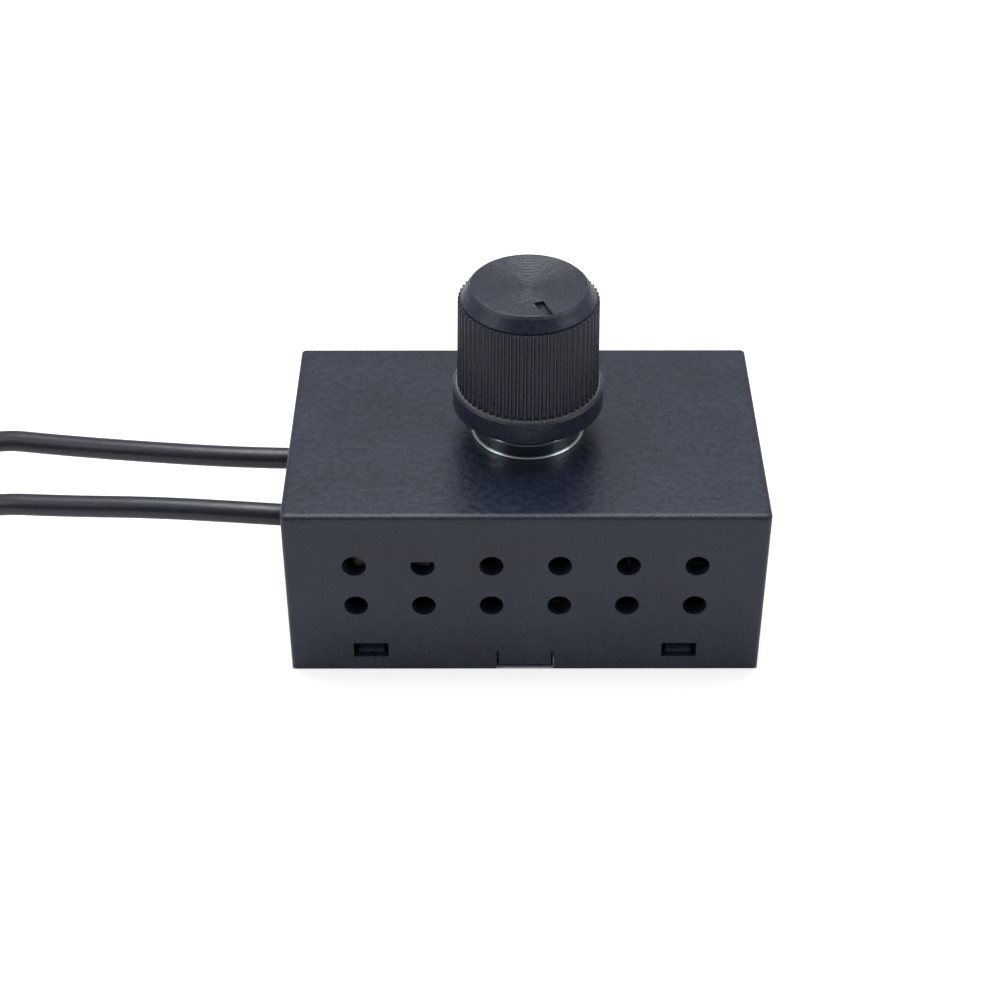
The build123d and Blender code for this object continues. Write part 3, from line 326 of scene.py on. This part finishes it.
# The lift that keeps the paper plain white for the camera grows with the distance from the lamps
near_lift, far_lift, mirror_lift = 0.6, 0.95, 0.05
distance = node(tree, "ShaderNodeVectorMath", {0: place}, operation="LENGTH").outputs["Value"]
camera_lift = ramp(tree, distance, 0.2, 0.9, near_lift, far_lift, smooth=True)
for_camera = maths(tree, "MULTIPLY", ray["Is Camera Ray"], camera_lift)
for_mirrors = maths(tree, "MULTIPLY", ray["Is Glossy Ray"], maths(tree, "MULTIPLY_ADD", dim, -mirror_lift, mirror_lift))
seen = maths(tree, "MULTIPLY", maths(tree, "ADD", for_camera, for_mirrors), open_paper)
# Under the box the paper gives back some light, which shows the box's floor from below
under_box_light = 0.8
bounced = maths(tree, "MAXIMUM", ray["Is Diffuse Ray"], ray["Is Glossy Ray"])
under_box = maths(tree, "MULTIPLY", maths(tree, "SUBTRACT", 1.0, open_paper), bounced)
strength = maths(tree, "MULTIPLY_ADD", under_box, under_box_light, seen)
lift = node(tree, "ShaderNodeEmission", {"Color": (1, 1, 1, 1), "Strength": strength})
both = node(tree, "ShaderNodeAddShader", {0: paper.outputs[0], 1: lift.outputs[0]})
# From below the paper can be looked through
from_below = node(tree, "ShaderNodeNewGeometry").outputs["Backfacing"]
clear = node(tree, "ShaderNodeBsdfTransparent")
one_way = node(tree, "ShaderNodeMixShader", {0: from_below, 1: both.outputs[0], 2: clear.outputs[0]})
node(tree, "ShaderNodeOutputMaterial", {"Surface": one_way.outputs[0]})
table_mesh.materials.append(table_paper)

bpy.context.scene.view_settings.view_transform = "Standard"
world = bpy.data.worlds.new("room")
world.use_nodes = True
bpy.context.scene.world = world
tree = world.node_tree
tree.nodes.clear()
ray = node(tree, "ShaderNodeLightPath").outputs
direction = node(tree, "ShaderNodeSeparateXYZ", {0: node(tree, "ShaderNodeTexCoord").outputs["Generated"]}).outputs
# Gloss shows the sweep behind and beside the table brighter than the dark room in front of it, and the
# ceiling brighter than the sweep
room_light, front_level, sweep_level, ceiling_level = 0.30, 0.12, 0.42, 1.0
ceiling = ramp(tree, direction[2], 0.4, 0.9, sweep_level, ceiling_level)
surroundings = ramp(tree, direction[1], -0.75, -0.25, front_level, ceiling, smooth=True)
seen = maths(tree, "MAXIMUM", ray["Is Camera Ray"], ray["Is Transmission Ray"])
level = maths(tree, "MULTIPLY_ADD", ray["Is Diffuse Ray"], room_light, seen)
level = maths(tree, "MULTIPLY_ADD", ray["Is Glossy Ray"], surroundings, level)
room = node(tree, "ShaderNodeBackground", {"Color": (1, 1, 1, 1), "Strength": level})
node(tree, "ShaderNodeOutputWorld", {"Surface": room.outputs[0]})

for name, place, aim, size, power in (
    ("soft_box_above", (-0.05, 0.15, 0.58), (0, 0, 0), 0.40, 2.6),
    ("soft_box_left", (-0.55, -0.22, 0.36), (0, 0, 0.01), 0.34, 0.45),
    ("soft_box_right", (0.56, -0.16, 0.40), (0, 0, 0.01), 0.34, 0.45),
):
    light = bpy.data.lights.new(name, "AREA")
    light.shape = "SQUARE"
    light.size = size
    light.energy = power
    lamp = bpy.data.objects.new(name, light)
    lamp.location = place
    # A lamp shines down its own Z: it is tipped from upright by its angle off the vertical, then turned to face its aim
    away = np.array(place) - np.array(aim)
    lamp.rotation_euler = (math.atan2(math.hypot(away[0], away[1]), away[2]), 0, math.atan2(away[0], -away[1]))
    bpy.context.collection.objects.link(lamp)


# Housing and snap-in floor: two mouldings in blue-black flame-retardant plastic, with a fine spark-eroded
# skin that is a little lighter along the edges, partly wear from handling and partly a painted highlight. The floor's
# barbs hold it.
box_height, wear_and_sheen_width, wear_and_sheen_most = 0.0208, 0.0003, 0.3
case_plastic = skinned(
    "case_plastic", moulded_skin, (0.0158, 0.0228, 0.0430), 0.4, Grain=5200.0, Mottle=0.9, Gloss=0.29, Specks=0.045
)
tree = case_plastic.node_tree
shader = tree.nodes["Principled BSDF"]
x, y, z = node(tree, "ShaderNodeSeparateXYZ", {0: node(tree, "ShaderNodeTexCoord").outputs["Object"]}).outputs
to_end = maths(tree, "SUBTRACT", box_half_length, maths(tree, "ABSOLUTE", x))
to_side = maths(tree, "SUBTRACT", box_half_depth, maths(tree, "ABSOLUTE", y))
to_top = maths(tree, "SUBTRACT", box_height, z)
# How far the nearest edge is: of the distances to the three faces there, the one in the middle
nearest = maths(tree, "MINIMUM", maths(tree, "MINIMUM", to_end, to_side), to_top)
farthest = maths(tree, "MAXIMUM", maths(tree, "MAXIMUM", to_end, to_side), to_top)
all_three = maths(tree, "ADD", maths(tree, "ADD", to_end, to_side), to_top)
to_edge = maths(tree, "SUBTRACT", maths(tree, "SUBTRACT", all_three, nearest), farthest)
# Lighter within 0.3 mm of every edge: partly wear, partly a painted edge highlight
worn = ramp(tree, to_edge, 0.0, wear_and_sheen_width, wear_and_sheen_most, 0.0, smooth=True)
skin_colour = shader.inputs["Base Color"].links[0].from_socket
tree.links.new(blend(tree, worn, skin_colour, (0.034, 0.038, 0.050)), shader.inputs["Base Color"])
# The light takes the edges as rounded: widely down to 1.2 mm below the top, and finely from 1.6 mm down
wide_round, fine_round = 0.0008, 0.0001
edge_radius = ramp(tree, to_top, 0.0012, 0.0016, wide_round, fine_round)
soft_edge = node(tree, "ShaderNodeBevel", {"Radius": edge_radius}, samples=6)
tree.links.new(soft_edge.outputs[0], shader.inputs["Normal"].links[0].from_node.inputs["Normal"])
dress(case_plastic, "housing", "base_plate")


# Circuit board: glass laminate under a dark resist, with tinned areas parted by etched gaps below. It lies on
# the floor's posts. The potentiometer's track wafer is cut from the same sheet.
board_foot, gap_width, hair = 0.0038, 0.09, 0.00001
material, tree, shader = new_material("laminate")
place = node(tree, "ShaderNodeTexCoord").outputs["Object"]
fibre = node(tree, "ShaderNodeTexNoise", {"Vector": place, "Scale": 2400.0, "Detail": 4.0}).outputs[0]
resist = blend(tree, fibre, (0.010, 0.013, 0.014), (0.022, 0.027, 0.028))
cells = node(tree, "ShaderNodeTexVoronoi", {"Vector": place, "Scale": 160.0}, feature="DISTANCE_TO_EDGE").outputs[0]
height = node(tree, "ShaderNodeSeparateXYZ", {0: place}).outputs[2]
underside = maths(tree, "LESS_THAN", height, board_foot + hair)
copper = maths(tree, "MULTIPLY", maths(tree, "GREATER_THAN", cells, gap_width), underside)
tree.links.new(blend(tree, copper, resist, (0.60, 0.58, 0.55)), shader.inputs["Base Color"])
tree.links.new(copper, shader.inputs["Metallic"])
tree.links.new(ramp(tree, fibre, 0.0, 1.0, 0.35, 0.6), shader.inputs["Roughness"])
bump = node(tree, "ShaderNodeBump", {"Strength": 0.15, "Distance": 0.00004, "Height": fibre})
tree.links.new(bump.outputs[0], shader.inputs["Normal"])
dress(material, "circuit_board", "pot_track")


# Parts on the board with their own wires: a coated or moulded body, and tinned copper wires out of it, which
# pass through the board and are soldered below.
def wired_part(name, part, body_colour, gloss, bands=(), middle=0.0, half_length=None, foot=None):
    """A body of one colour, with rings at set distances along X from its middle, each given as its distance, its half
    width and its colour. What is past half_length, or below the foot, is bare tinned wire."""
    material, tree, shader = new_material(name)
    place = node(tree, "ShaderNodeTexCoord").outputs["Object"]
    x, _, z = node(tree, "ShaderNodeSeparateXYZ", {0: place}).outputs
    cloud = node(tree, "ShaderNodeTexNoise", {"Vector": place, "Scale": 1500.0, "Detail": 3.0}).outputs[0]
    dark = tuple(0.72 * channel for channel in body_colour)
    colour = blend(tree, cloud, dark, body_colour)
    along = maths(tree, "SUBTRACT", x, middle)
    for spot, half_width, band_colour in bands:
        on_band = maths(tree, "COMPARE", along, spot, half_width)
        colour = blend(tree, on_band, colour, band_colour)
    if half_length is not None:
        wire = maths(tree, "GREATER_THAN", maths(tree, "ABSOLUTE", along), half_length)
    else:
        wire = maths(tree, "LESS_THAN", z, foot)
    dull_tin = (0.30, 0.30, 0.31)
    tree.links.new(blend(tree, wire, colour, dull_tin), shader.inputs["Base Color"])
    tree.links.new(wire, shader.inputs["Metallic"])
    tree.links.new(ramp(tree, cloud, 0.0, 1.0, gloss - 0.08, gloss + 0.12), shader.inputs["Roughness"])
    bump = node(tree, "ShaderNodeBump", {"Strength": 0.2, "Distance": 0.00004, "Height": cloud})
    tree.links.new(bump.outputs[0], shader.inputs["Normal"])
    dress(material, part)


board_top = 0.0054
wired_part(
    "resistor_coat", "resistors", (0.60, 0.44, 0.26), 0.34, middle=-0.0178, half_length=0.0032,
    bands=(
        (-0.0023, 0.0003, (0.35, 0.16, 0.05)), (-0.0011, 0.0003, (0.02, 0.02, 0.02)),
        (0.0001, 0.0003, (0.70, 0.35, 0.02)), (0.0023, 0.0003, (0.55, 0.38, 0.08)),
    ),
)
wired_part(
    "fuse_body", "fuse", (0.70, 0.68, 0.60), 0.30, middle=0.0030, half_length=0.00375,
    bands=((-0.0031, 0.0007, (0.55, 0.55, 0.56)), (0.0031, 0.0007, (0.55, 0.55, 0.56))),
)
wired_part(
    "diac_glass", "diac", (0.012, 0.016, 0.045), 0.15, middle=0.0020, half_length=0.0020,
    bands=((-0.0012, 0.0003, (0.01, 0.01, 0.01)),),
)
disc_foot = 0.0096
wired_part("tan_ceramic", "ceramic_capacitor", (0.40, 0.36, 0.35), 0.35, foot=disc_foot)
wired_part("capacitor_box", "film_capacitor", (0.55, 0.42, 0.06), 0.38, foot=board_top)
wired_part("ferrite", "choke_core", (0.035, 0.034, 0.036), 0.55, foot=board_top)


# Choke winding: enamelled copper wire wound turn by turn on the waist of the ferrite drum, which stands on
# the board and holds it between its flanges.
choke_x, choke_y = 0.0172, 0.0094
winding_foot, winding_head = board_top + 0.0012, board_top + 0.0078
winding_radius, bore_radius, wire_pitch, columns = 0.0034, 0.00183, 0.00044, 72
turns = np.linspace(winding_foot, winding_head, 241)
height, around = np.meshgrid(turns, np.linspace(0, 2 * np.pi, columns, endpoint=False), indexing="ij")
phase = (height - winding_foot) / wire_pitch - around / (2 * np.pi)
# The wire's bead: a half circle of the wire's radius in each pitch, a little opened at its flanks by the fullness,
# and carried round as a screw. A bore closes the winding inside
fullness = 0.97
offset = wire_pitch * (phase - np.floor(phase) - 0.5)
bead = winding_radius - wire_pitch / 2 + np.sqrt((wire_pitch / 2) ** 2 - fullness * offset**2)
bore = np.full((1, columns), bore_radius)
radius = np.r_[bore, bead, bore]
height = np.r_[height[:1], height, height[-1:]]
around = np.r_[around[:1], around, around[-1:]]
winding = skin_piece(
    "copper_winding", choke_x + radius * np.cos(around), choke_y + radius * np.sin(around), height, close_along=True
)
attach(winding, "box")
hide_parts("choke_winding")
dress(skinned("enamelled_wire", metal_skin, (0.55, 0.20, 0.07), 0.2, metallic=1.0, Gloss=0.22), winding)


# Triac, its heat sink and screw: a tinned copper frame with a black epoxy case, screwed to folded sheet of
# mill-finish aluminium. The screw is zinc-plated steel.
sink_aluminium = skinned("sink_aluminium", metal_skin, (0.78, 0.79, 0.80), 0.3, metallic=1.0, Gloss=0.36, Along_Y=0.08)
dress(sink_aluminium, "heat_sink")
tinned_frame = skinned("triac_frame", metal_skin, (0.66, 0.66, 0.67), 0.2, metallic=1.0, Gloss=0.28, Along_Y=0.15)
dress(tinned_frame, "triac_frame")
dress(skinned("triac_case", moulded_skin, (0.014, 0.014, 0.015), 0.35, Grain=6000.0, Gloss=0.55), "triac_case")
dress(skinned("zinc_screw", metal_skin, (0.62, 0.63, 0.66), 0.2, metallic=1.0, Gloss=0.25), "heat_sink_screw")


# Potentiometer and switch: black phenolic cases, a zinc-plated plate with claws, a turned aluminium shaft
# and tinned or brass contacts. The switch sits behind the potentiometer on the same shaft.
inner_plastic = skinned("inner_plastic", moulded_skin, (0.013, 0.013, 0.014), 0.25, Grain=4200.0, Gloss=0.45)
dress(inner_plastic, "pot_case", "switch_case", "pot_wiper")
cam_plastic = skinned("cam_plastic", moulded_skin, (0.60, 0.58, 0.52), 0.15, Grain=4200.0, Mottle=0.1, Gloss=0.4)
dress(cam_plastic, "switch_cam")
zinc_sheet = skinned("zinc_sheet", metal_skin, (0.60, 0.61, 0.63), 0.2, metallic=1.0, Gloss=0.3, Along_Y=0.12)
dress(zinc_sheet, "pot_plate")
shaft_metal = skinned(
    "shaft_metal", metal_skin, (0.74, 0.74, 0.75), 0.25, metallic=1.0, Gloss=0.24, Along_X=0.2, Along_Y=0.2
)
dress(shaft_metal, "pot_shaft")
dress(tinned_metal, "pot_terminals")
contact_brass = skinned("contact_brass", metal_skin, (0.68, 0.50, 0.24), 0.2, metallic=1.0, Gloss=0.26, Along_X=0.1)
dress(contact_brass, "switch_leaf", "switch_contact")


# Bushing: a turned brass collar with a fine thread, nickel plated. It is staked to the potentiometer's plate,
# passes up through the box's top, and the nut holds it there.
dial_x = 0.0003
thread_radius, thread_depth, thread_pitch, shaft_bore = 0.0035, 0.00028, 0.00075, 0.00306
collar_foot, collar_top, thread_start, thread_end, bushing_top = 0.0174, 0.0180, 0.0192, 0.0243, 0.0246
collar_radius, thread_relief, top_chamfer = 0.0043, 0.0001, 0.0003
columns, thread_rows = 96, 130
below_thread = [
    (shaft_bore, collar_foot),
    (collar_radius, collar_foot),
    (collar_radius, collar_top),
    (thread_radius, collar_top),
    (thread_radius, thread_start - thread_relief),
]
threaded = np.c_[np.full(thread_rows, thread_radius), np.linspace(thread_start, thread_end, thread_rows)]
above_thread = [(thread_radius - top_chamfer, bushing_top), (shaft_bore, bushing_top)]
profile_radius, profile_height = np.r_[below_thread, threaded, above_thread].T
around = np.tile(np.linspace(0, 2 * np.pi, columns, endpoint=False), (len(profile_height), 1))
height = np.repeat(profile_height[:, None], columns, axis=1)
radius = np.repeat(profile_radius[:, None], columns, axis=1)
# The thread: a triangle wave of the height less the turn, cut into the outer radius
cut = slice(len(below_thread), len(below_thread) + thread_rows)
wave = (height[cut] / thread_pitch - around[cut] / (2 * np.pi)) % 1
radius[cut] -= thread_depth * np.abs(2 * wave - 1)
bushing = skin_piece(
    "threaded_bushing", dial_x + radius * np.cos(around), radius * np.sin(around), height, close_along=True
)
bushing.data.shade_flat()
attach(bushing, "box")
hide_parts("bushing")
dress(skinned("bushing_metal", metal_skin, (0.72, 0.70, 0.62), 0.15, metallic=1.0, Gloss=0.2), bushing)


# Washer and round nut: pressed and turned steel, nickel plated. The nut's dark, teal-tinted colour is painted shade and
# painted reflection of the dark box and knob round it. Screwed down on the bushing's thread, they clamp the box's top
# to the potentiometer.
dress(skinned("nut_nickel_painted_dark", metal_skin, (0.30, 0.37, 0.40), 0.1, metallic=1.0, Gloss=0.07), "mounting_nut")
dress(skinned("bright_nickel", metal_skin, (0.50, 0.54, 0.56), 0.1, metallic=1.0, Gloss=0.12), "mounting_washer")


# Knob: a fluted moulding pressed on the shaft. Its dished top shows the fine rings of the turned mould and is painted
# a little lighter, a painted sheen; its crests and the shelf at their feet carry painted highlights.
knob_top, flute_top, flute_foot = 0.0388, 0.0372, 0.0270
crest_top_radius, crest_foot_radius, shelf_highlight_radius = 0.00728, 0.00746, 0.00762
dish_depth, dish_radius, ring_pitch = 0.00033, 0.0061, 0.00027
shelf_band, crest_highlight_depth = 0.00003, 0.00005
knob_plastic = skinned(
    "knob_plastic", moulded_skin, (0.0168, 0.0220, 0.0415), 0.5, Grain=5200.0, Mottle=0.9, Gloss=0.31, Specks=0.05
)
tree = knob_plastic.node_tree
shader = tree.nodes["Principled BSDF"]
place = node(tree, "ShaderNodeTexCoord").outputs["Object"]
centred = node(tree, "ShaderNodeVectorMath", {0: place, 1: (dial_x, 0, 0)}, operation="SUBTRACT").outputs[0]
flat = node(tree, "ShaderNodeVectorMath", {0: centred, 1: (1, 1, 0)}, operation="MULTIPLY").outputs[0]
from_axis = node(tree, "ShaderNodeVectorMath", {0: flat}, operation="LENGTH").outputs["Value"]
# The rings: a sine wave of the distance from the axis, which wavers by a tenth of its pitch
waver = node(tree, "ShaderNodeTexNoise", {"Vector": place, "Scale": 500.0, "Detail": 2.0}).outputs[0]
turned = maths(tree, "MULTIPLY_ADD", waver, 0.1 * ring_pitch, from_axis)
rings = maths(tree, "SINE", maths(tree, "MULTIPLY", turned, 2 * math.pi / ring_pitch))
height = node(tree, "ShaderNodeSeparateXYZ", {0: place}).outputs[2]
in_dish = maths(tree, "LESS_THAN", from_axis, dish_radius)
on_top = maths(tree, "MULTIPLY", maths(tree, "GREATER_THAN", height, knob_top - dish_depth), in_dish)
rings = maths(tree, "MULTIPLY", rings, on_top)
bump = node(tree, "ShaderNodeBump", {"Strength": 0.9, "Distance": 0.000012, "Height": rings})
soft_edge = node(tree, "ShaderNodeBevel", {"Radius": 0.00009}, samples=6)
grain_bump = shader.inputs["Normal"].links[0].from_node
tree.links.new(soft_edge.outputs[0], grain_bump.inputs["Normal"])
tree.links.new(grain_bump.outputs[0], bump.inputs["Normal"])
tree.links.new(bump.outputs[0], shader.inputs["Normal"])
skin_colour = shader.inputs["Base Color"].links[0].from_socket
# The dished top is painted a little lighter: a painted sheen from the light above
top_colour_with_painted_sheen = blend(tree, maths(tree, "MULTIPLY", on_top, 0.12), skin_colour, (0.045, 0.048, 0.056))
# The shelf at the flutes' feet is painted pale, a painted highlight, which shows as a dashed line between them
on_shelf = maths(tree, "COMPARE", height, flute_foot, shelf_band)
inside = maths(tree, "LESS_THAN", from_axis, shelf_highlight_radius)
shelf = maths(tree, "MULTIPLY", on_shelf, inside)
# The crests between the flutes are painted lighter than their hollows, a painted highlight: their radius grows evenly
# down the knob
crest = ramp(tree, height, flute_top, flute_foot, crest_top_radius, crest_foot_radius)
past_crest = maths(tree, "SUBTRACT", from_axis, crest)
on_flutes = maths(tree, "COMPARE", height, (flute_top + flute_foot) / 2, (flute_top - flute_foot) / 2 + hair)
crest_highlight = maths(tree, "MULTIPLY", ramp(tree, past_crest, -crest_highlight_depth, -hair, 0.0, 1.0), on_flutes)
fluted_colour = blend(tree, crest_highlight, top_colour_with_painted_sheen, (0.062, 0.067, 0.085))
tree.links.new(blend(tree, shelf, fluted_colour, (0.24, 0.24, 0.255)), shader.inputs["Base Color"])
dress(knob_plastic, "knob")
